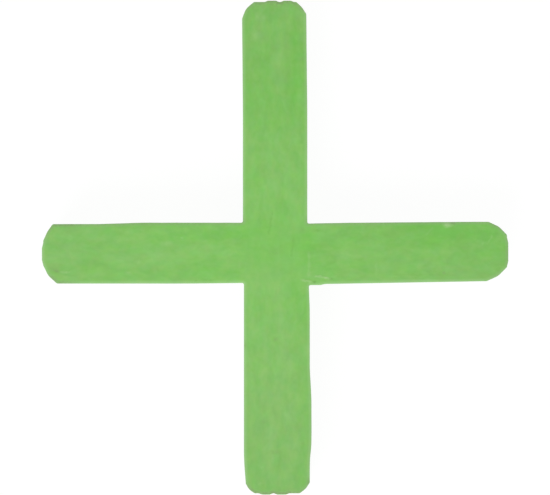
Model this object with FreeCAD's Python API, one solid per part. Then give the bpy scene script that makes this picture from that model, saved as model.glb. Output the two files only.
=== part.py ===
# Cross-shaped tile spacer: one small moulding in soft plastic, with four arms that keep four tiles a joint's
# width apart. It lies flat: the underside is z = 0, the middle of the crossing is the origin, the right arm
# points along +X and the top arm along +Y. All lengths are millimetres and all angles degrees.
import FreeCAD, Part
import math
import os

Vector = FreeCAD.Vector

# Whole moulding
joint_width = 3.15            # nominal width of an arm, which is the joint left between two tiles
thickness = 4.0               # underside to top face
parting_height = 2.0          # where the two halves of the mould met, above the underside
draft_angle = 0.4             # taper of the sides, both ways from the parting line
rim_width = 0.05              # worn-off rim between each face and the sides, at half a right angle
inside_corner_radius = 0.08   # where two arms meet, and a tile's corner comes to sit
side_bend_radius = 12.0       # where a long side turns a little
tip_radius = 0.14             # rounding of the corners of an arm's end
bulge_radius = 0.70           # rounding of the bulge in the middle of such a corner
end_depth = 0.065             # how far an arm's plain end lies behind the crests that stand on it
blend_share = 0.48            # most of a straight edge that the rounding of one of its corners may take
rim_share = 0.8               # most of the smallest rounding that the rim may take

# The sides of the arms. Each _root and _end is how far that side stands out from half the joint width, at the
# inside corner and at the arm's end. The moulding shrank unevenly, so the arms lean, flare and swell a little.
right_reach = 11.63           # reach is measured from the crossing's middle to the outermost crest
right_upper_root = -0.075
right_upper_middle = -0.032
right_upper_end = 0.018
right_lower_root = -0.030
right_lower_end = -0.175
right_flare_distance = 3.8    # the upper side has flared to its middle distance this far from the crossing's middle
web_length = 0.60             # strip of flash left in the corner under the right arm
web_height = 0.050            # how far the flash stands out from the arm's side
web_ramp_length = 0.16        # its ragged end

top_reach = 12.63
top_right_root = 0.020
top_right_end = -0.030
top_left_root = 0.070
top_left_end = 0.110
top_lean_length = 5.63        # the arm leans left over this last length, and is straight before it

left_reach = 11.68
left_upper_root = -0.030
left_upper_end = -0.100
left_lower_root = -0.085
left_lower_end = -0.055
left_narrow_length = 2.88     # the upper side is drawn in over this last length
left_taper_length = 2.0       # and draws in over this length before it
left_flare_distance = 4.3     # the lower side has flared to its full distance this far from the crossing's middle

bottom_reach = 12.055
bottom_left_root = 0.020
bottom_left_end = -0.075
bottom_taper_length = 1.755   # the left side draws in over this last length
bottom_right_root = 0.095
bottom_right_end = 0.145
bottom_flare_distance = 2.8   # the right side has flared to its full distance this far from the crossing's middle
swell_height = 0.085          # the right side swells out by this much
swell_length = 2.3            # over this length
swell_rise_length = 1.5       # with this much before it, on the crossing's side
swell_fall_length = 0.7       # and this much after it
swell_from_end = 1.755        # what is left from there to the reach

# The corners of the arms' ends. _back is where a corner starts on the side, measured from the reach, _in is
# where it meets the end, measured from the side, and _bulge is how far it stands out from a straight cut.
right_lower_back = 1.09
right_lower_in = 0.71
right_lower_bulge = 0.115
right_upper_back = 1.00
right_upper_in = 0.66
right_upper_bulge = 0.105

top_right_back = 0.67
top_right_in = 0.50
top_right_bulge = 0.045
top_left_back = 0.90
top_left_in = 0.60
top_left_bulge = 0.135

left_upper_back = 0.54
left_upper_in = 0.84
left_upper_bulge = 0.045
left_lower_back = 0.76
left_lower_in = 0.92
left_lower_bulge = 0.11

bottom_left_back = 0.55
bottom_left_in = 0.45
bottom_left_bulge = 0.08
bottom_right_back = 0.61
bottom_right_in = 0.51
bottom_right_bulge = 0.065

# The crests on the ends, anticlockwise round the cross: centre and half width, as shares of the plain end. The
# ramp up to a crest is a share of it too, and is longest where the end is worn.
right_crests = [(0.47, 0.28)]
right_ramp_share = 0.17
top_crests = [(0.215, 0.08), (0.58, 0.09)]
top_ramp_share = 0.08
left_crests = [(0.54, 0.24)]
left_ramp_share = 0.21
bottom_crests = [(0.25, 0.08), (0.597, 0.09)]
bottom_ramp_share = 0.08


# An outline is a list of corners (point, blend radius), anticlockwise round the cross.

def end_corner(side_distance, reach, back, inward, bulge):
    """The corner of an arm's end as (out, across, radius) points, from the arm's side to its end."""
    start = Vector(reach - back, side_distance, 0)
    stop = Vector(reach - end_depth, side_distance - inward, 0)
    chord = stop - start
    outward = Vector(-chord.y, chord.x, 0).normalize()
    middle = start + chord * 0.5 + outward * bulge
    return [(start.x, start.y, tip_radius), (middle.x, middle.y, bulge_radius), (stop.x, stop.y, tip_radius)]


def crest_corners(crests, ramp_share, reach, first_across, last_across):
    """The end of an arm between its two corners, with each crest standing out to the reach."""
    width = last_across - first_across
    points = []
    for centre, half in crests:
        foot, top = half + ramp_share, half
        for share, out in ((-foot, reach - end_depth), (-top, reach), (top, reach), (foot, reach - end_depth)):
            points.append((out, first_across + (centre + share) * width, tip_radius))
    return points


def arm(direction, reach, near, near_corner, crests, ramp_share, far, far_corner):
    """The corners of one arm that points along direction. near and far are its two long sides as (out, distance
    from the centre line) points, root first; near is the one met first going anticlockwise round the cross."""
    near_end = end_corner(near[-1][1], reach, *near_corner)
    far_end = end_corner(far[-1][1], reach, *far_corner)
    near_end = [(out, -across, radius) for out, across, radius in near_end]

    local = [(out, -distance, side_bend_radius) for out, distance in near[:-1]]
    local += near_end
    local += crest_corners(crests, ramp_share, reach, near_end[-1][1], far_end[-1][1])
    local += far_end[::-1]
    local += [(out, distance, side_bend_radius) for out, distance in far[-2::-1]]

    turn = math.radians(direction)
    corners = []
    for out, across, radius in local:
        x = out * math.cos(turn) - across * math.sin(turn)
        y = out * math.sin(turn) + across * math.cos(turn)
        corners.append((Vector(x, y, 0), radius))
    return corners


def parting_outline():
    """The cross at its parting line, where it is widest."""
    half = joint_width / 2
    top_lean_start = top_reach - top_lean_length
    left_narrow_start = left_reach - left_narrow_length
    bottom_taper_start = bottom_reach - bottom_taper_length
    swell_stop = bottom_reach - swell_from_end
    swell_full_stop = swell_stop - swell_fall_length
    swell_full_start = swell_full_stop - swell_length
    swell_start = swell_full_start - swell_rise_length
    web_stop = half + bottom_right_root + web_length
    lower_lean = (right_lower_end - right_lower_root) / (right_reach - right_lower_back - web_stop)
    web_distance = half + right_lower_root + web_height

    right = arm(
        0,
        right_reach,
        [
            (web_stop, web_distance),
            (web_stop + web_ramp_length, half + right_lower_root + lower_lean * web_ramp_length),
            (right_reach, half + right_lower_end),
        ],
        (right_lower_back, right_lower_in, right_lower_bulge),
        right_crests,
        right_ramp_share,
        [(right_flare_distance, half + right_upper_middle), (right_reach, half + right_upper_end)],
        (right_upper_back, right_upper_in, right_upper_bulge),
    )
    top = arm(
        90,
        top_reach,
        [(top_lean_start, half + top_right_root), (top_reach, half + top_right_end)],
        (top_right_back, top_right_in, top_right_bulge),
        top_crests,
        top_ramp_share,
        [(top_lean_start, half + top_left_root), (top_reach, half + top_left_end)],
        (top_left_back, top_left_in, top_left_bulge),
    )
    left = arm(
        180,
        left_reach,
        [
            (left_narrow_start - left_taper_length, half + left_upper_root),
            (left_narrow_start, half + left_upper_end),
            (left_reach, half + left_upper_end),
        ],
        (left_upper_back, left_upper_in, left_upper_bulge),
        left_crests,
        left_ramp_share,
        [(left_flare_distance, half + left_lower_end), (left_reach, half + left_lower_end)],
        (left_lower_back, left_lower_in, left_lower_bulge),
    )
    full = half + bottom_right_end
    bottom = arm(
        270,
        bottom_reach,
        [(bottom_taper_start, half + bottom_left_root), (bottom_reach, half + bottom_left_end)],
        (bottom_left_back, bottom_left_in, bottom_left_bulge),
        bottom_crests,
        bottom_ramp_share,
        [
            (bottom_flare_distance, full),
            (swell_start, full),
            (swell_full_start, full + swell_height),
            (swell_full_stop, full + swell_height),
            (swell_stop, full),
            (bottom_reach, full),
        ],
        (bottom_right_back, bottom_right_in, bottom_right_bulge),
    )

    def inside_corner(x, y):
        return [(Vector(x, y, 0), inside_corner_radius)]

    outline = inside_corner(half + bottom_right_root, -web_distance) + right
    outline += inside_corner(half + top_right_root, half + right_upper_root) + top
    outline += inside_corner(-half - top_left_root, half + left_upper_root) + left
    outline += inside_corner(-half - bottom_left_root, -half - left_lower_root) + bottom
    return outline


def turn_at(before, point, after):
    """How far the outline turns at a point, in radians: positive where it turns left, on an outer corner."""
    a, b = point - before, after - point
    return math.atan2(a.x * b.y - a.y * b.x, a.dot(b))


def blend_radii(outline):
    """The radius that fits at each corner: the one asked for, or less where the edges beside it are short."""
    radii = []
    for i, (point, asked) in enumerate(outline):
        before, after = outline[i - 1][0], outline[(i + 1) % len(outline)][0]
        turn = abs(turn_at(before, point, after))
        room = blend_share * min((point - before).Length, (after - point).Length)
        radii.append(min(asked, room / math.tan(turn / 2)))
    return radii


def section(outline, radii, inset, height):
    """The outline as a wire of straight edges and arcs at a height, drawn in by the inset all round."""
    count = len(outline)
    points = [point for point, _ in outline]
    moved, turns = [], []
    for i, point in enumerate(points):
        ahead = (points[(i + 1) % count] - point).normalize()
        behind = (point - points[i - 1]).normalize()
        turn = turn_at(points[i - 1], point, points[(i + 1) % count])
        inward = Vector(-behind.y - ahead.y, behind.x + ahead.x, 0).normalize()
        moved.append(point + inward * (inset / math.cos(turn / 2)) + Vector(0, 0, height))
        turns.append(turn)

    arcs = []
    for i, point in enumerate(moved):
        behind = (moved[i - 1] - point).normalize()
        ahead = (moved[(i + 1) % count] - point).normalize()
        radius = radii[i] - math.copysign(inset, turns[i])
        reach = radius * math.tan(abs(turns[i]) / 2)
        sagitta = radius * (1 / math.cos(turns[i] / 2) - 1)
        middle = point + (behind + ahead).normalize() * sagitta
        arcs.append((point + behind * reach, middle, point + ahead * reach))

    edges = []
    for i, (start, middle, stop) in enumerate(arcs):
        edges.append(Part.Arc(start, middle, stop).toShape())
        edges.append(Part.makeLine(stop, arcs[(i + 1) % count][0]))
    return Part.Wire(edges)


def make_spacer():
    """The whole moulding: both drafted halves, then the broken rims of its two faces."""
    outline = parting_outline()
    radii = blend_radii(outline)
    taper = math.tan(math.radians(draft_angle))
    under = section(outline, radii, taper * parting_height, 0)
    parting = section(outline, radii, 0, parting_height)
    top = section(outline, radii, taper * (thickness - parting_height), thickness)
    body = Part.makeLoft([under, parting, top], True, True)

    face_inset = taper * max(parting_height, thickness - parting_height)
    rim = min(rim_width, (min(radii) - face_inset) * rim_share)
    rims = [
        edge
        for edge in body.Edges
        if max(v.Z for v in edge.Vertexes) < parting_height / 2
        or min(v.Z for v in edge.Vertexes) > (parting_height + thickness) / 2
    ]
    return body.makeChamfer(rim, rims)


os.makedirs("parts", exist_ok=True)
make_spacer().exportStep("parts/cross_spacer.step")
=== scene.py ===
"""The looks of a cross-shaped tile spacer in soft green plastic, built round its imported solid.

The frame is the part's own: the underside is z = 0, the middle of the crossing is the origin, the right
arm points along +X and the top arm along +Y. Places and sizes are millimetres unless a comment says
otherwise, and colours are linear. The moulding is a copy of the solid, cut into fine cells so that its
streaks, scratches and burrs are real relief, and its plastic is a procedural material.
"""

import math
from collections import namedtuple

import bmesh
import bpy
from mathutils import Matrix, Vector, geometry, kdtree, noise


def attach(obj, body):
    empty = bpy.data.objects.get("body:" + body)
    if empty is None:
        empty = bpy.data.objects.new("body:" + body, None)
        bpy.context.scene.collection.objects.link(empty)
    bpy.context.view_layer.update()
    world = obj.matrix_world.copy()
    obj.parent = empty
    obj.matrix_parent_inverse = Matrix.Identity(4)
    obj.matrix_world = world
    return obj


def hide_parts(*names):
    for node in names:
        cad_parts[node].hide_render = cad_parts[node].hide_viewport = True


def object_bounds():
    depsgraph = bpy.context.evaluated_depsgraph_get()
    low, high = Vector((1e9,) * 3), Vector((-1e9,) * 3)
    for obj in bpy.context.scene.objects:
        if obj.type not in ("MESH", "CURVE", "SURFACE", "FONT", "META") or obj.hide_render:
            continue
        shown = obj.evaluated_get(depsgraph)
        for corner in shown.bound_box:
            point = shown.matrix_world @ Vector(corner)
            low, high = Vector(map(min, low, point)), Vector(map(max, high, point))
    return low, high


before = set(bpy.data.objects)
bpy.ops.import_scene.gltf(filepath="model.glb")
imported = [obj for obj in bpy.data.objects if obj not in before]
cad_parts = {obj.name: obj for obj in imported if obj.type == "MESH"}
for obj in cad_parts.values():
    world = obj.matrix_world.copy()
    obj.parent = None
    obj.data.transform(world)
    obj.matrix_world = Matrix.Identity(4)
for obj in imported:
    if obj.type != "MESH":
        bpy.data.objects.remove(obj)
cad_low, cad_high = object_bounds()

MM = 0.001                          # metres in a millimetre

# The solid's sizes that the mesh and its relief go by
thickness = cad_high.z / MM
upright_half = 1.70                 # the upright is a little narrower than twice this all along
turn_band = (upright_half - 0.40, upright_half + 0.05)  # where streaks turn from the upright to the crossbar
rim_width = 0.05                    # no broken rim round the faces is wider than this
rim_tilt = (0.5, 0.9)               # vertical share of a rim's normal, at least and at most
brink_depths = (0.004, 0.030)       # how far below the top face its outline lies, at least and at most
face_depth = 1.2 * rim_width        # faces this near the top are cut as finely as the top face
relief_depth = 2 * rim_width        # the relief of the top face and the underside fades out over this depth
measured_depth = 3 * rim_width      # points further down than this aren't measured from the outline
far_from_edge = 1.0                 # their edge distance

# Cells of the fine mesh
cell_across = 0.045                 # across an arm on the top face, both ways on the crossing and at the ends
cell_along = 0.09                   # along an arm on the top face
cell_hidden = 0.18                  # on the sides and the underside
cell_height = 0.25                  # up the sides
end_band = 0.55                     # how far the fine cells reach from the ends
merge_distance = 1e-5
cut_tolerance = 1e-5
flat_angle = math.radians(0.02)
rim_bevel = 0.003
rim_segments = 2

# The top face falls off a little towards its outline
rim_fall = 0.014
rim_fall_width = 0.16

# Marks on the top face. A stroke is a long mark along some points: its half width, its height (a groove's
# is negative), the height of the lip thrown up on its left, seen along its points, and its tint and how
# strong that is. A dimple is an oval mark with its half sizes, and is a bump where its height is positive.
# Plastic goes pale where it is stressed and brown where dirt sits; the dark tint darkens the scratches and
# some spots, and is painted shadow beside the burrs. The brown tint is also painted shade along the
# crossbar's upper sides.
Stroke = namedtuple("Stroke", "points width height lip tint strength")
Dimple = namedtuple("Dimple", "centre size height tint strength")

strokes = [
    # Two scratches on the crossing
    Stroke([(-0.17, 2.12), (-0.21, 1.85), (-0.24, 1.55), (-0.29, 1.20), (-0.35, 0.92)],
           0.052, -0.005, 0.003, "dark", 0.32),
    Stroke([(0.91, 0.82), (0.88, 0.42), (0.82, 0.10), (0.79, -0.15)], 0.052, -0.005, 0.003, "dark", 0.30),
    # The ridge at the root of the right arm
    Stroke([(1.66, 0.05), (1.68, -0.35), (1.68, -0.85), (1.64, -1.18)], 0.065, 0.007, 0.0, "pale", 0.24),
    # Burrs near the lower right inside corner
    Stroke([(1.28, -1.32), (1.55, -1.36), (1.84, -1.42)], 0.048, 0.014, 0.0, "pale", 0.70),
    Stroke([(1.98, -1.13), (2.32, -1.17), (2.70, -1.25)], 0.042, 0.014, 0.0, "pale", 0.80),
    # A pale bar near the left end
    Stroke([(-10.76, -0.93), (-10.26, -0.93)], 0.045, 0.008, 0.0, "pale", 0.45),
    # Arcs and faint streaks on the right arm
    Stroke([(10.80, 0.92), (10.73, 0.72), (10.60, 0.50)], 0.040, 0.003, 0.0, "pale", 0.20),
    Stroke([(10.36, 0.64), (10.31, 0.40)], 0.040, 0.002, 0.0, "pale", 0.15),
    Stroke([(7.47, 0.90), (7.68, 1.10), (7.84, 1.32)], 0.045, 0.002, 0.0, "pale", 0.16),
    Stroke([(5.02, -0.42), (5.04, -1.10)], 0.060, 0.002, 0.0, "pale", 0.18),
    Stroke([(8.72, 0.70), (8.74, 0.15)], 0.070, -0.002, 0.0, "dark", 0.14),
    Stroke([(9.57, 0.18), (9.58, -0.35)], 0.070, -0.002, 0.0, "dark", 0.12),
    Stroke([(5.80, -1.06), (7.50, -1.05), (9.20, -1.10)], 0.030, -0.002, 0.001, "dark", 0.14),
    Stroke([(5.70, -1.22), (7.30, -1.24), (9.00, -1.30)], 0.030, -0.002, 0.001, "dark", 0.12),
    # A pale bar on the bottom arm
    Stroke([(-0.13, -10.05), (-0.12, -10.40)], 0.060, 0.004, 0.0, "pale", 0.22),
]
stroke_reach = 4                    # a stroke's relief ends this many half widths from its points
stroke_lip_place = 1.7              # its lip stands this many half widths to its left
stroke_rise = (-0.02, 0.20)         # shares of its length between which it rises, and falls at its other end
stroke_tint_across = 2.2            # its tint reaches this many half widths to either side
stroke_tint_along = 0.85            # and this share of a run's length both ways from the run's middle

dimples = [
    # Painted shadows beside the burrs, over small hollows
    Dimple((1.93, -1.42), (0.10, 0.05), -0.018, "dark", 0.80),
    Dimple((2.78, -1.25), (0.09, 0.06), -0.014, "dark", 0.50),
    # The nick in the right arm's upper side, and the plastic pushed up beside it
    Dimple((8.85, 1.54), (0.15, 0.07), -0.030, "brown", 1.0),
    Dimple((8.60, 1.45), (0.21, 0.12), 0.014, "pale", 0.95),
    # Smudges round the crossing
    Dimple((2.07, 1.17), (0.24, 0.09), -0.005, "dark", 0.32),
    Dimple((1.32, 1.17), (0.20, 0.16), -0.002, "brown", 0.25),
    Dimple((-0.03, 0.07), (0.26, 0.20), -0.002, "brown", 0.22),
    # The right arm
    Dimple((3.35, -0.03), (0.45, 0.70), 0.002, "pale", 0.10),
    Dimple((8.42, -0.98), (0.09, 0.08), -0.006, "brown", 0.45),
    Dimple((10.85, 1.30), (0.09, 0.08), -0.005, "dark", 0.30),
    Dimple((11.05, 1.02), (0.08, 0.07), -0.005, "dark", 0.28),
    Dimple((10.72, 1.02), (0.07, 0.07), -0.004, "dark", 0.22),
    Dimple((11.10, -0.83), (0.12, 0.09), -0.005, "dark", 0.25),
    # The left arm
    Dimple((-10.91, -0.89), (0.12, 0.08), -0.010, "brown", 0.75),
    Dimple((-11.12, -0.78), (0.20, 0.13), -0.004, "brown", 0.30),
    Dimple((-6.83, -0.43), (0.12, 0.09), 0.003, "pale", 0.26),
    Dimple((-7.33, -0.98), (0.12, 0.09), 0.003, "pale", 0.26),
    Dimple((-5.43, 0.50), (0.26, 0.14), 0.002, "pale", 0.20),
    Dimple((-5.86, -0.08), (0.32, 0.12), 0.002, "pale", 0.18),
    Dimple((-4.68, 0.78), (0.07, 0.06), 0.002, "pale", 0.25),
    Dimple((-3.63, -0.13), (0.20, 0.07), 0.001, "pale", 0.12),
    Dimple((-3.98, -1.38), (0.08, 0.05), -0.004, "dark", 0.30),
    Dimple((-3.23, -1.34), (0.07, 0.05), -0.004, "dark", 0.26),
    Dimple((-2.38, -1.40), (0.08, 0.05), -0.004, "dark", 0.30),
    # The top arm
    Dimple((-0.93, 11.82), (0.12, 0.15), 0.002, "pale", 0.24),
    Dimple((-0.58, 11.77), (0.10, 0.15), 0.002, "pale", 0.20),
    Dimple((-0.98, 10.87), (0.14, 0.20), 0.002, "pale", 0.22),
    Dimple((1.32, 9.72), (0.14, 0.10), -0.003, "brown", 0.28),
    # The bottom arm
    Dimple((0.00, -4.28), (0.11, 0.11), -0.006, "brown", 0.42),
    Dimple((-1.53, -4.58), (0.06, 0.18), -0.006, "dark", 0.50),
    Dimple((-0.58, -8.38), (0.13, 0.09), -0.003, "brown", 0.28),
    Dimple((0.82, -6.18), (0.07, 0.16), -0.002, "dark", 0.20),
    Dimple((-0.03, -9.90), (0.30, 0.10), -0.004, "brown", 0.28),
    Dimple((1.35, -9.48), (0.09, 0.09), -0.002, "brown", 0.20),
    Dimple((-0.78, -11.48), (0.08, 0.08), 0.003, "pale", 0.24),
    Dimple((-0.68, -10.68), (0.07, 0.07), 0.002, "pale", 0.20),
]
dimple_tint_reach = 1.8             # a dimple's tint reaches this many of its half sizes

right_arm_step = 0.004              # the right arm's face lies this much lower beside the ridge
right_arm_step_place = 1.70         # it drops from here
right_arm_step_drop = 0.14          # over this length
right_arm_step_fade = 1.0           # and comes up again over this one

# Streaks are smooth noise: the size of its grains across and along an arm, and their height
Streak = namedtuple("Streak", "across along height")
streaks = [Streak(0.42, 1.1, 0.0018), Streak(0.80, 4.0, 0.0040)]
mottle = Streak(0.35, 0.35, 0.0010)
sink = Streak(2.5, 2.5, 0.008)
side_wave = Streak(0.6, 0.6, 0.006)
noise_seeds = Vector((11.3, 27.1, 5.7))
# Each takes its heights from a layer of the noise of its own; each further streak is one layer up
sink_layer, mottle_layer, upright_layer, crossbar_layer = 0.0, 1.0, 2.0, 5.0
under_sink_layer, under_mottle_layer, side_layer = 9.0, 10.0, 12.0

# Plastic. It has worn duller and greyer in some areas and kept its full green in others. The two greens are
# the freshest and the most worn there is.
fresh_green = (0.171, 0.505, 0.075, 1.0)
worn_green = (0.257, 0.514, 0.145, 1.0)
cool_tone = (0.966, 1.000, 1.026, 1.0)
warm_tone = (1.034, 0.998, 0.974, 1.0)
tints = {
    "pale": (0.36, 0.61, 0.235, 1.0),
    # dark is also the painted shadow beside the burrs
    "dark": (0.150, 0.395, 0.062, 1.0),
    # brown is also the painted shade along the crossbar's upper sides
    "brown": (0.210, 0.375, 0.118, 1.0),
}
edge_white = (0.90, 0.95, 0.85, 1.0)
edge_white_share = 0.100            # the thin edge lets light through and looks paler
edge_white_width = 0.20
plastic_roughness = 0.48
roughness_spread = 0.04             # the roughness varies by this much both ways
refraction = 1.5
specular_level = 0.4
bump_strength = 0.25
bump_height = 0.004

# How worn the plastic is where nothing below says otherwise, and how much that varies: the size of the grains
# across and along an arm, their detail, how far they change the wear, and where their noise starts
Grain = namedtuple("Grain", "across along detail strength place")
usual_wear = 0.41
wear_range = (-0.2, 1.2)            # the wear of the fresh green and of the worn one
wear_grains = [
    Grain(0.60, 2.90, 0.0, 0.55, (3, 5, 7)),
    Grain(0.45, 1.05, 1.0, 0.72, (8, 1, 4)),
    Grain(0.20, 0.26, 0.0, 0.55, (2, 9, 5)),
]
shade_grain = Grain(0.45, 0.80, 2.0, 0.25, (9, 2, 4))
tone_grain = Grain(0.42, 0.60, 1.0, 1.0, (5, 3, 8))
grain_swirl = 0.4                   # how much the noise of these grains is stirred
noise_span = (0.3, 0.7)             # nearly all of the noise's values lie between these

# Fine noise with grains that are as long as wide: their size and where their noise starts
Speckle = namedtuple("Speckle", "size place")
uneven_speckle = Speckle(0.13, (7, 2, 1))       # unevenness of tints and of the darkened edges
uneven_strength = (0.65, 1.25)
fleck_speckle = Speckle(0.13, (4, 8, 3))        # flecks on the torn end
fleck_span = (0.42, 0.62)
surface_speckle = Speckle(0.11, (6, 6, 2))      # bump and roughness of the surface
ragged_size = 0.16                  # marks' outlines are shifted by noise with grains of this size
ragged_shift = 0.12                 # and by up to about half of this

# Areas of the plastic: centre, half sizes and strength, which is positive for worn ones
Area = namedtuple("Area", "centre size strength")
mark_depth = 0.5                    # marks fade out this far below the top face
area_depth = 1000.0                 # worn and fresh areas go right through
areas = [
    # The top arm
    Area((-1.08, 8.30), (0.90, 3.2), -0.26),
    Area((1.17, 8.70), (1.00, 4.5), -0.28),
    Area((0.00, 7.70), (2.50, 2.8), -0.12),
    Area((0.00, 4.30), (2.00, 3.2), 0.10),
    Area((0.00, 11.00), (2.50, 2.2), 0.06),
    Area((-0.18, 11.72), (0.35, 0.30), -0.15),
    Area((1.02, 10.52), (0.40, 0.35), -0.25),
    Area((-1.13, 10.17), (0.40, 0.35), -0.20),
    # The crossing
    Area((0.00, 0.80), (2.80, 2.2), -0.30),
    Area((1.45, 0.50), (0.45, 1.6), -0.20),
    Area((-0.88, -1.55), (1.50, 1.2), 0.20),
    # The bottom arm
    Area((0.00, -8.10), (3.50, 7.5), 0.38),
    Area((1.35, -2.80), (0.70, 2.6), -0.28),
    Area((1.40, -7.30), (0.60, 5.0), -0.18),
    # The left arm
    Area((-4.30, 1.17), (5.00, 0.95), -0.32),
    Area((-2.60, 0.55), (3.00, 1.2), -0.22),
    Area((-11.20, -0.20), (2.20, 1.9), 0.26),
    Area((-10.20, -1.00), (1.80, 0.7), 0.22),
    Area((-7.80, -0.10), (4.50, 1.2), 0.16),
    Area((-3.60, -0.80), (3.20, 1.0), -0.22),
    # The right arm
    Area((1.90, 0.35), (2.00, 0.9), -0.22),
    Area((3.20, 1.12), (3.20, 0.8), -0.20),
    Area((8.30, 1.20), (4.60, 1.0), -0.62),
    Area((8.60, 0.50), (3.20, 0.7), -0.28),
    Area((2.90, -0.60), (2.40, 1.1), -0.22),
    Area((7.70, -0.85), (3.80, 0.9), 0.16),
    Area((4.50, -0.88), (1.10, 0.5), -0.18),
    Area((10.80, 0.00), (1.20, 1.2), -0.28),
]

# How bright the plastic is away from its middle, and where painted light and shade change that: a painted
# pool of light round the crossing, painted light left of the ridge, and painted shade beside the ridge and
# along the right arm's upper half
plain_level = 0.98
painted_light_areas = [
    Area((-1.50, 0.00), (15.0, 12.0), 0.085),
    Area((2.45, 0.30), (1.10, 1.30), -0.035),
    Area((4.50, 1.10), (5.00, 0.80), -0.025),
    Area((1.45, 0.30), (0.40, 1.60), 0.015),
]

# Darkening along the outline, as painted shade on the crossbar's upper sides, which face away from the light,
# and darker outlines at the ends: centre, half sizes and strength
dark_edge_start = 0.05              # the darkening has its full strength up to this distance from the outline
dark_edge_width = 0.20              # and is gone at this one
shaded_and_dark_edges = [
    # The upper sides of the crossbar: painted shade
    Area((-6.2, 1.50), (11.0, 0.70), 0.48),
    Area((6.3, 1.55), (11.0, 0.70), 0.44),
    # The left end
    Area((-10.6, 1.45), (1.30, 0.35), 0.55),
    Area((-11.2, 1.00), (0.60, 0.60), 0.50),
    Area((-10.9, -1.35), (1.40, 0.70), 0.80),
    # The top end
    Area((0.0, 12.50), (2.40, 0.70), 0.75),
    Area((-1.35, 12.20), (0.50, 0.70), 0.15),
    Area((1.35, 12.25), (0.50, 0.70), 0.30),
    # The bottom end
    Area((0.1, -12.00), (2.60, 0.70), 1.10),
    Area((-1.30, -11.80), (0.60, 0.60), 0.60),
    Area((1.62, -11.40), (0.25, 0.30), 0.80),
    # The right end
    Area((11.55, 0.00), (0.40, 1.80), 0.45),
    Area((11.1, 1.30), (0.90, 0.60), 0.35),
    Area((11.1, -1.15), (0.90, 0.60), 0.30),
]
# The top arm's end is torn: dark flecks in a band behind its outline
torn_end = Area((0.0, 12.50), (2.40, 1.00), 0.45)
torn_start = 0.15                   # the band has its full strength up to this distance from the outline
torn_width = 0.50                   # and is gone at this one
# The bottom arm's end has a faint line behind its outline
faint_line = Area((0.75, -11.90), (1.30, 0.60), 0.35)
line_distance = 0.22
line_half_width = 0.06

# Camera and light
photo_width = 27.46                 # what the frame's width takes in, at the top rim
photo_centre = (-0.03, 0.295)
lens = 250.0
sensor = 36.0
clip_distances = (0.01, 10.0)       # metres
key_place = Vector((-300.0, -600.0, 900.0))
key_size = 540.0
key_power = 6.39                    # watts
world_light = 0.55
floor_size = 2000.0
floor_pale = 0.8                    # what the floor throws back onto the cross
floor_shade = 0.07                  # how much of the shadow on it is seen
floor_glow = 0.955                  # what brings it up to white


def smooth_step(low, high, value):
    """0 below low, 1 above high and a smooth rise between."""
    share = min(max((value - low) / (high - low), 0.0), 1.0)
    return share * share * (3 - 2 * share)


def merged_copy(node):
    """The solid's surface in millimetres, its loose triangles joined and its flat faces whole again."""
    work = bmesh.new()
    work.from_mesh(node.data)
    bmesh.ops.scale(work, vec=Vector((1, 1, 1)) / MM, verts=work.verts)
    bmesh.ops.remove_doubles(work, verts=work.verts, dist=merge_distance)
    bmesh.ops.dissolve_limit(work, angle_limit=flat_angle, verts=work.verts, edges=work.edges)
    work.normal_update()
    return work


def round_rims(work):
    """Bevels both edges of the broken rims, so that the light rolls over them."""
    rims = []
    for edge in work.edges:
        tilted = [rim_tilt[0] < abs(face.normal.z) < rim_tilt[1] for face in edge.link_faces]
        if len(tilted) == 2 and tilted[0] != tilted[1]:
            rims.append(edge)
    bmesh.ops.bevel(work, geom=rims, offset=rim_bevel, offset_type="OFFSET", segments=rim_segments,
                    profile=0.5, affect="EDGES", material=-1, clamp_overlap=True)
    work.normal_update()


def cut_across(work, faces, axis, places):
    """Cuts faces by planes across an axis, at places in rising order. Only what lies beyond a plane goes on
    to the next one. Returns all the faces."""
    rest, done = list(faces), []
    for place in places:
        edges = dict.fromkeys(edge for face in rest for edge in face.edges)
        corners = dict.fromkeys(corner for face in rest for corner in face.verts)
        cut = bmesh.ops.bisect_plane(work, geom=[*rest, *edges, *corners], dist=cut_tolerance,
                                     plane_co=axis * place, plane_no=axis)
        rest = []
        for item in cut["geom"]:
            if not isinstance(item, bmesh.types.BMFace):
                continue
            if item.calc_center_median().dot(axis) > place:
                rest.append(item)
            else:
                done.append(item)
    return done + rest


def evenly(start, stop, step):
    """Places from start to stop, both included, spaced by about a step."""
    count = max(1, round((stop - start) / step))
    return [start + (stop - start) * i / count for i in range(count + 1)]


def top_places(low, high):
    """Where the top face is cut along an axis: finely at the ends and over the crossing, else coarsely."""
    bounds = [low, low + end_band, -upright_half, upright_half, high - end_band, high]
    steps = [cell_across, cell_along, cell_across, cell_along, cell_across]
    places = []
    for start, stop, step in zip(bounds, bounds[1:], steps):
        places += evenly(start, stop, step)[1:]
    return places[:-1]


def hidden_places(low, high):
    """Where the sides and the underside are cut along an axis."""
    return evenly(low, high, cell_hidden)[1:-1]


def cut_into_cells(work):
    """Fine cells on the top face and its rim, coarser ones on the sides and the underside."""
    x_axis, y_axis, z_axis = Vector((1, 0, 0)), Vector((0, 1, 0)), Vector((0, 0, 1))
    low, high = cad_low / MM, cad_high / MM
    top = [face for face in work.faces if face.calc_center_median().z > thickness - face_depth]
    top = cut_across(work, top, x_axis, top_places(low.x, high.x))
    cut_across(work, top, y_axis, top_places(low.y, high.y))

    hidden = [face for face in work.faces if face.calc_center_median().z < thickness - face_depth]
    hidden = cut_across(work, hidden, x_axis, hidden_places(low.x, high.x))
    hidden = cut_across(work, hidden, y_axis, hidden_places(low.y, high.y))
    upright = [face for face in hidden if abs(face.normal.z) < rim_tilt[0]]
    cut_across(work, upright, z_axis, evenly(0, thickness, cell_height)[1:-1])
    work.normal_update()


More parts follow.
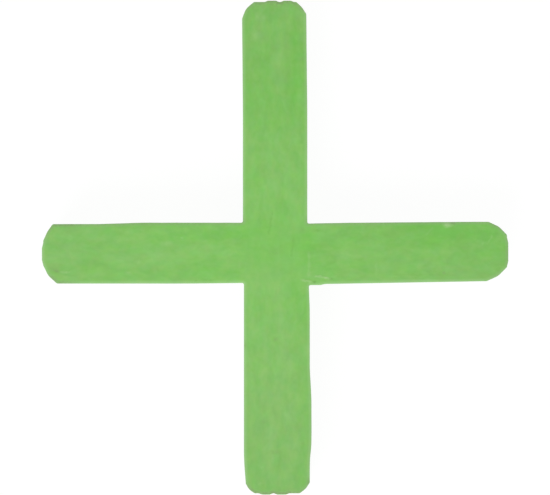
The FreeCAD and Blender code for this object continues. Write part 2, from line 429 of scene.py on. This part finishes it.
def measure_edge_distance(work):
    """Gives each point of the top face its distance to the outline, seen from above."""
    layer = work.verts.layers.float.new("edge_distance")
    brink = [point for point in work.verts
             if brink_depths[0] < thickness - point.co.z < brink_depths[1]]
    on_brink = set(brink)
    tree = kdtree.KDTree(len(brink))
    for index, point in enumerate(brink):
        tree.insert((point.co.x, point.co.y, 0), index)
    tree.balance()
    for point in work.verts:
        if point.co.z < thickness - measured_depth:
            point[layer] = far_from_edge
            continue
        place = point.co.to_2d()
        _, index, distance = tree.find((*place, 0))
        for edge in brink[index].link_edges:
            other = edge.other_vert(brink[index])
            start, stop = brink[index].co.to_2d(), other.co.to_2d()
            if other in on_brink and (stop - start).length > merge_distance:
                share = min(max(geometry.intersect_point_line(place, start, stop)[1], 0.0), 1.0)
                distance = min(distance, (start.lerp(stop, share) - place).length)
        point[layer] = distance
    return layer


def wave(streak, across, along, layer):
    """Smooth noise with its grains drawn out along one way, as a height."""
    place = Vector((across / streak.across, along / streak.along, layer)) + noise_seeds
    return noise.noise(place) * streak.height


def stroke_height(stroke, x, y):
    """The height that a long mark gives a point of the top face."""
    reach = stroke_reach * stroke.width
    if not (min(p[0] for p in stroke.points) - reach < x < max(p[0] for p in stroke.points) + reach):
        return 0.0
    if not (min(p[1] for p in stroke.points) - reach < y < max(p[1] for p in stroke.points) + reach):
        return 0.0
    place = Vector((x, y))
    points = [Vector(point) for point in stroke.points]
    lengths = [(stop - start).length for start, stop in zip(points, points[1:])]
    side, passed, nearest = 0.0, 0.0, None
    for index, (start, stop) in enumerate(zip(points, points[1:])):
        run = stop - start
        share = min(max((place - start).dot(run) / run.length_squared, 0.0), 1.0)
        offset = place - start.lerp(stop, share)
        if nearest is None or offset.length < nearest:
            nearest = offset.length
            side = math.copysign(nearest, offset.y * run.x - offset.x * run.y)
            passed = (sum(lengths[:index]) + share * lengths[index]) / sum(lengths)
    ends = smooth_step(*stroke_rise, passed) * smooth_step(*stroke_rise, 1 - passed)
    body = math.exp(-((side / stroke.width) ** 2)) * stroke.height
    lip = math.exp(-(((side - stroke_lip_place * stroke.width) / stroke.width) ** 2)) * stroke.lip
    return (body + lip) * ends


def dimple_height(dimple, x, y):
    """The height that a dimple or a bump gives a point of the top face."""
    across = (x - dimple.centre[0]) / dimple.size[0]
    along = (y - dimple.centre[1]) / dimple.size[1]
    return math.exp(-(across * across + along * along)) * dimple.height


def sideways_share(x, y):
    """0 on the upright's arms, 1 on the crossbar's and a half on the crossing."""
    beside = smooth_step(*turn_band, abs(x))
    above = smooth_step(*turn_band, abs(y))
    return (1 + beside - above) / 2


def top_relief(x, y, edge_distance):
    """How far the top face stands above its true plane at a point."""
    sideways = sideways_share(x, y)
    height = wave(sink, x, y, sink_layer) + wave(mottle, x, y, mottle_layer)
    for layer, streak in enumerate(streaks):
        height += (1 - sideways) * wave(streak, x, y, upright_layer + layer)
        height += sideways * wave(streak, y, x, crossbar_layer + layer)
    for stroke in strokes:
        height += stroke_height(stroke, x, y)
    for dimple in dimples:
        height += dimple_height(dimple, x, y)
    if x > right_arm_step_place:
        beside = smooth_step(right_arm_step_place, right_arm_step_place + right_arm_step_drop, x)
        fade = smooth_step(right_arm_step_place, right_arm_step_place + right_arm_step_fade, x)
        height -= right_arm_step * beside * (1 - fade)
    near_edge = max(0.0, 1 - edge_distance / rim_fall_width)
    return height - rim_fall * near_edge * near_edge


def raise_relief(work, edge_distance):
    """Moves the mesh's points to the relief of the top face, the underside and the sides."""
    for point in work.verts:
        x, y, z = point.co
        on_top = smooth_step(thickness - relief_depth, thickness, z)
        under = 1 - smooth_step(0, relief_depth, z)
        if on_top:
            point.co.z += top_relief(x, y, point[edge_distance]) * on_top
        elif under:
            hollow = abs(wave(sink, x, y, under_sink_layer) + wave(mottle, x, y, under_mottle_layer))
            point.co.z += hollow * under
        else:
            point.co += point.normal * wave(side_wave, x + y, z, side_layer)


def new_object(name, work):
    """An object in the scene, at the origin, with the mesh that was worked on."""
    mesh = bpy.data.meshes.new(name)
    work.to_mesh(mesh)
    work.free()
    result = bpy.data.objects.new(name, mesh)
    bpy.context.scene.collection.objects.link(result)
    return result


def make_moulding():
    """The whole cross with its relief, in place of the solid."""
    work = merged_copy(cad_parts["cross_spacer"])
    round_rims(work)
    cut_into_cells(work)
    edge_distance = measure_edge_distance(work)
    raise_relief(work, edge_distance)
    for face in work.faces:
        face.smooth = True
    bmesh.ops.scale(work, vec=Vector((1, 1, 1)) * MM, verts=work.verts)
    return new_object("moulding", work)


class Nodes:
    """Adds nodes to a material, with their inputs given by name and linked where they are sockets."""

    def __init__(self, material):
        material.use_nodes = True
        self.tree = material.node_tree
        self.tree.nodes.clear()

    def add(self, kind, inputs=(), **settings):
        node = self.tree.nodes.new(kind)
        for name, value in settings.items():
            setattr(node, name, value)
        for name, value in dict(inputs).items():
            self.feed(node.inputs[name], value)
        return node

    def feed(self, socket, value):
        if isinstance(value, bpy.types.NodeSocket):
            self.tree.links.new(value, socket)
        else:
            socket.default_value = value

    def mapped(self, coordinates, place, scale, turn=0.0):
        """Coordinates in millimetres from a place, turned and divided by a scale along each axis."""
        settings = {"Vector": coordinates, "Location": tuple(p * MM for p in place),
                    "Rotation": (0, 0, turn), "Scale": tuple(s * MM for s in scale)}
        return self.add("ShaderNodeMapping", settings, vector_type="TEXTURE").outputs["Vector"]

    def noise(self, coordinates, grain, place, detail=2.0, distortion=0.0):
        """Smooth noise from 0 to 1, with grains of about that size along each axis."""
        settings = {"Vector": self.mapped(coordinates, place, grain), "Scale": 1.0, "Detail": detail,
                    "Roughness": 0.5, "Distortion": distortion}
        return self.add("ShaderNodeTexNoise", settings).outputs["Fac"]

    def speckle(self, coordinates, speckle):
        return self.noise(coordinates, (speckle.size, speckle.size, speckle.size), speckle.place)

    def blob(self, coordinates, place, size, turn=0.0):
        """1 at a place, falling smoothly to 0 at the size away from it along each axis."""
        near = self.add("ShaderNodeTexGradient", {"Vector": self.mapped(coordinates, place, size, turn)},
                        gradient_type="SPHERICAL").outputs["Fac"]
        return self.ramp(near, 0.0, 1.0)

    def math(self, operation, *values):
        node = self.add("ShaderNodeMath", operation=operation)
        for socket, value in zip(node.inputs, values):
            self.feed(socket, value)
        return node.outputs[0]

    def ramp(self, value, low, high, to_low=0.0, to_high=1.0, shape="SMOOTHSTEP"):
        settings = {"Value": value, "From Min": low, "From Max": high, "To Min": to_low, "To Max": to_high}
        return self.add("ShaderNodeMapRange", settings, interpolation_type=shape).outputs["Result"]

    def mix(self, share, first, second, blend="MIX"):
        node = self.add("ShaderNodeMix", data_type="RGBA", blend_type=blend)
        sockets = [socket for socket in node.inputs if socket.enabled]
        for socket, value in zip(sockets, (share, first, second)):
            self.feed(socket, value)
        return next(socket for socket in node.outputs if socket.enabled)

    def added(self, first, second):
        return self.add("ShaderNodeVectorMath", {0: first, 1: second}, operation="ADD").outputs["Vector"]

    def scaled(self, vector, factor):
        return self.add("ShaderNodeVectorMath", {"Vector": vector, "Scale": factor},
                        operation="SCALE").outputs["Vector"]

    def mixed_shaders(self, share, first, second):
        """One shader where the share is 0 and another where it is 1."""
        blend = self.add("ShaderNodeMixShader", {"Fac": share})
        self.feed(blend.inputs[1], first)
        self.feed(blend.inputs[2], second)
        return blend.outputs[0]


def sum_of_areas(nodes, coordinates, area_list, start, depth):
    """Adds up areas, each as strong as it says at its centre."""
    total = start
    for area in area_list:
        near = nodes.blob(coordinates, (*area.centre, thickness), (*area.size, depth))
        total = nodes.math("MULTIPLY_ADD", near, area.strength, total)
    return total


def marks_field(nodes, coordinates, tint):
    """Where the marks of one tint are, and how strong."""
    field = 0.0
    for stroke in strokes:
        if stroke.tint != tint:
            continue
        for start, stop in zip(stroke.points, stroke.points[1:]):
            middle, run = (Vector(start) + Vector(stop)) / 2, Vector(stop) - Vector(start)
            size = (stroke_tint_across * stroke.width, stroke_tint_along * run.length, mark_depth)
            turn = math.atan2(-run.x, run.y)
            mark = nodes.blob(coordinates, (middle.x, middle.y, thickness), size, turn)
            field = nodes.math("MULTIPLY_ADD", mark, stroke.strength, field)
    for dimple in dimples:
        if dimple.tint != tint:
            continue
        size = (dimple_tint_reach * dimple.size[0], dimple_tint_reach * dimple.size[1], mark_depth)
        mark = nodes.blob(coordinates, (*dimple.centre, thickness), size)
        field = nodes.math("MULTIPLY_ADD", mark, dimple.strength, field)
    return field


def plain_plastic(nodes, place):
    """The plastic's green before its marks: worn and fresh areas, streaks along the arms, and its brightness
    with painted light and shade.
    """
    parts = nodes.add("ShaderNodeSeparateXYZ", {"Vector": place}).outputs
    turn_start, turn_stop = turn_band[0] * MM, turn_band[1] * MM
    beside = nodes.ramp(nodes.math("ABSOLUTE", parts["X"]), turn_start, turn_stop, 0.5, 1.0)
    above = nodes.ramp(nodes.math("ABSOLUTE", parts["Y"]), turn_start, turn_stop, 0.0, 0.5)
    sideways = nodes.math("SUBTRACT", beside, above)

    def along_arms(grain):
        """Noise whose grains lie along each arm, upright or crossbar, and are a mixture on the crossing."""
        across_upright = (grain.across, grain.along, grain.along)
        across_crossbar = (grain.along, grain.across, grain.along)
        upright = nodes.noise(place, across_upright, grain.place, grain.detail, grain_swirl)
        crossbar = nodes.noise(place, across_crossbar, grain.place[::-1], grain.detail, grain_swirl)
        turned = nodes.math("SUBTRACT", crossbar, upright)
        return nodes.math("MULTIPLY_ADD", turned, sideways, upright)

    wear = usual_wear
    for grain in wear_grains:
        centred = nodes.math("SUBTRACT", along_arms(grain), 0.5)
        wear = nodes.math("MULTIPLY_ADD", centred, grain.strength, wear)
    wear = sum_of_areas(nodes, place, areas, wear, area_depth)
    green = nodes.mix(nodes.ramp(wear, *wear_range, shape="LINEAR"), fresh_green, worn_green)
    tone = nodes.mix(nodes.ramp(along_arms(tone_grain), *noise_span), cool_tone, warm_tone)
    green = nodes.mix(1.0, green, tone, "MULTIPLY")
    shade = nodes.math("MULTIPLY_ADD", along_arms(shade_grain), shade_grain.strength,
                       plain_level - shade_grain.strength / 2)
    # The brightness scales the green: a random shade grain plus the painted light and shade areas
    return nodes.scaled(green, sum_of_areas(nodes, place, painted_light_areas, shade, area_depth))


def with_marks(nodes, place, colour, uneven):
    """The colour with all the marks on it, which have ragged outlines and uneven tints; the dark marks beside
    the burrs are painted shadow.
    """
    ragged_coordinates = nodes.mapped(place, (1, 1, 1), (ragged_size, ragged_size, ragged_size))
    ragged = nodes.add("ShaderNodeTexNoise", {"Vector": ragged_coordinates, "Scale": 1.0, "Detail": 1.0})
    shift = nodes.added(ragged.outputs["Color"], (-0.5, -0.5, -0.5))
    shifted = nodes.added(place, nodes.scaled(shift, ragged_shift * MM))
    for tint, tint_colour in tints.items():
        share = nodes.math("MULTIPLY", marks_field(nodes, shifted, tint), uneven)
        colour = nodes.mix(nodes.ramp(share, 0.0, 1.0, shape="LINEAR"), colour, tint_colour)
    return colour


def with_outline(nodes, place, colour, uneven):
    """The colour with its outline: paler where the edge is thin, with painted shade on the crossbar's upper
    sides, darker outlines at the ends, flecks on the top arm's torn end and a faint line on the bottom arm's."""
    distance = nodes.add("ShaderNodeAttribute", attribute_name="edge_distance").outputs["Fac"]
    whitened = nodes.ramp(distance, 0.0, edge_white_width, edge_white_share, 0.0)
    colour = nodes.mix(whitened, colour, edge_white)

    near_edge = nodes.ramp(distance, dark_edge_start, dark_edge_width, 1.0, 0.0)
    # Painted shade on the crossbar's upper sides and darker outlines at the ends, near the outline
    darkening = sum_of_areas(nodes, place, shaded_and_dark_edges, 0.0, mark_depth)
    darkening = nodes.math("MULTIPLY", nodes.math("MULTIPLY", darkening, near_edge), uneven)

    flecks = nodes.ramp(nodes.speckle(place, fleck_speckle), *fleck_span)
    torn = nodes.blob(place, (*torn_end.centre, thickness), (*torn_end.size, mark_depth))
    torn_band = nodes.ramp(distance, torn_start, torn_width, torn_end.strength, 0.0)
    darkening = nodes.math("MULTIPLY_ADD", nodes.math("MULTIPLY", torn, torn_band), flecks, darkening)

    line = nodes.blob(place, (*faint_line.centre, thickness), (*faint_line.size, mark_depth))
    off_line = nodes.math("ABSOLUTE", nodes.math("SUBTRACT", distance, line_distance))
    line_band = nodes.ramp(off_line, 0.0, line_half_width, faint_line.strength, 0.0)
    darkening = nodes.math("ADD", darkening, nodes.math("MULTIPLY", line, line_band))
    # All the darkening turns the colour brown: painted shade on the crossbar's upper sides, darker ends,
    # flecks and a faint line
    return nodes.mix(nodes.ramp(darkening, 0.0, 1.0, shape="LINEAR"), colour, tints["brown"])


def moulded_plastic():
    """Soft green plastic: worn and fresh areas, streaks along the arms, painted light and shade, marks,
    darkened edges and a grain.
    """
    material = bpy.data.materials.new("moulded_plastic")
    nodes = Nodes(material)
    place = nodes.add("ShaderNodeTexCoord").outputs["Object"]
    uneven = nodes.ramp(nodes.speckle(place, uneven_speckle), *noise_span, *uneven_strength)
    colour = plain_plastic(nodes, place)
    colour = with_marks(nodes, place, colour, uneven)
    colour = with_outline(nodes, place, colour, uneven)

    grain = nodes.speckle(place, surface_speckle)
    bump = nodes.add("ShaderNodeBump", {"Height": grain, "Strength": bump_strength,
                                        "Distance": bump_height * MM})
    roughness = nodes.ramp(grain, *noise_span, plastic_roughness - roughness_spread,
                           plastic_roughness + roughness_spread)
    shader = nodes.add("ShaderNodeBsdfPrincipled", {
        "Base Color": colour,
        "Roughness": roughness,
        "Normal": bump.outputs["Normal"],
        "IOR": refraction,
        "Specular IOR Level": specular_level,
    })
    nodes.add("ShaderNodeOutputMaterial", {"Surface": shader.outputs[0]})
    return material


def seen_directly(nodes):
    """1 for what the camera sees, straight or through gloss and glass, and 0 for the light on the object."""
    rays = nodes.add("ShaderNodeLightPath").outputs
    direct = nodes.math("MAXIMUM", rays["Is Camera Ray"], rays["Is Glossy Ray"])
    return nodes.math("MAXIMUM", direct, rays["Is Transmission Ray"])


def make_floor():
    """A pale floor that looks white but keeps a faint shadow."""
    material = bpy.data.materials.new("pale_floor")
    nodes = Nodes(material)
    pale = nodes.add("ShaderNodeBsdfDiffuse", {"Color": (floor_pale, floor_pale, floor_pale, 1.0)})
    shadowed = nodes.add("ShaderNodeBsdfDiffuse", {"Color": (floor_shade, floor_shade, floor_shade, 1.0)})
    white = nodes.add("ShaderNodeEmission", {"Color": (1, 1, 1, 1), "Strength": floor_glow})
    backdrop = nodes.add("ShaderNodeAddShader", {0: shadowed.outputs[0], 1: white.outputs[0]})
    surface = nodes.mixed_shaders(seen_directly(nodes), pale.outputs[0], backdrop.outputs[0])
    nodes.add("ShaderNodeOutputMaterial", {"Surface": surface})

    work = bmesh.new()
    bmesh.ops.create_grid(work, x_segments=1, y_segments=1, size=floor_size / 2 * MM)
    floor = new_object("floor", work)
    floor.data.materials.append(material)


def make_world():
    """Even white light from all round, and pure white where the camera sees past the floor."""
    world = bpy.data.worlds.new("studio")
    bpy.context.scene.world = world
    nodes = Nodes(world)
    light = nodes.add("ShaderNodeBackground", {"Color": (1, 1, 1, 1), "Strength": world_light})
    white = nodes.add("ShaderNodeBackground", {"Color": (1, 1, 1, 1), "Strength": 1.0})
    surface = nodes.mixed_shaders(seen_directly(nodes), light.outputs[0], white.outputs[0])
    nodes.add("ShaderNodeOutputWorld", {"Surface": surface})


def make_key_light():
    """A soft box at the lower left, above the cross."""
    lamp = bpy.data.lights.new("key", "AREA")
    lamp.shape = "SQUARE"
    lamp.size = key_size * MM
    lamp.energy = key_power
    key = bpy.data.objects.new("key", lamp)
    key.location = key_place * MM
    key.rotation_euler = (-key_place).to_track_quat("-Z", "Y").to_euler()
    bpy.context.scene.collection.objects.link(key)


def make_camera():
    """Straight above the cross, with a long lens, framed as the photograph."""
    data = bpy.data.cameras.new("camera")
    data.lens = lens
    data.sensor_width = sensor
    data.clip_start, data.clip_end = clip_distances
    camera = bpy.data.objects.new("camera", data)
    height = photo_width * lens / sensor + thickness - rim_width
    camera.location = Vector((*photo_centre, height)) * MM
    bpy.context.scene.collection.objects.link(camera)
    bpy.context.scene.camera = camera


moulding = make_moulding()
moulding.data.materials.append(moulded_plastic())
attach(moulding, "root")
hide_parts("cross_spacer")

make_floor()
make_world()
make_key_light()
make_camera()
bpy.context.scene.view_settings.view_transform = "Standard"
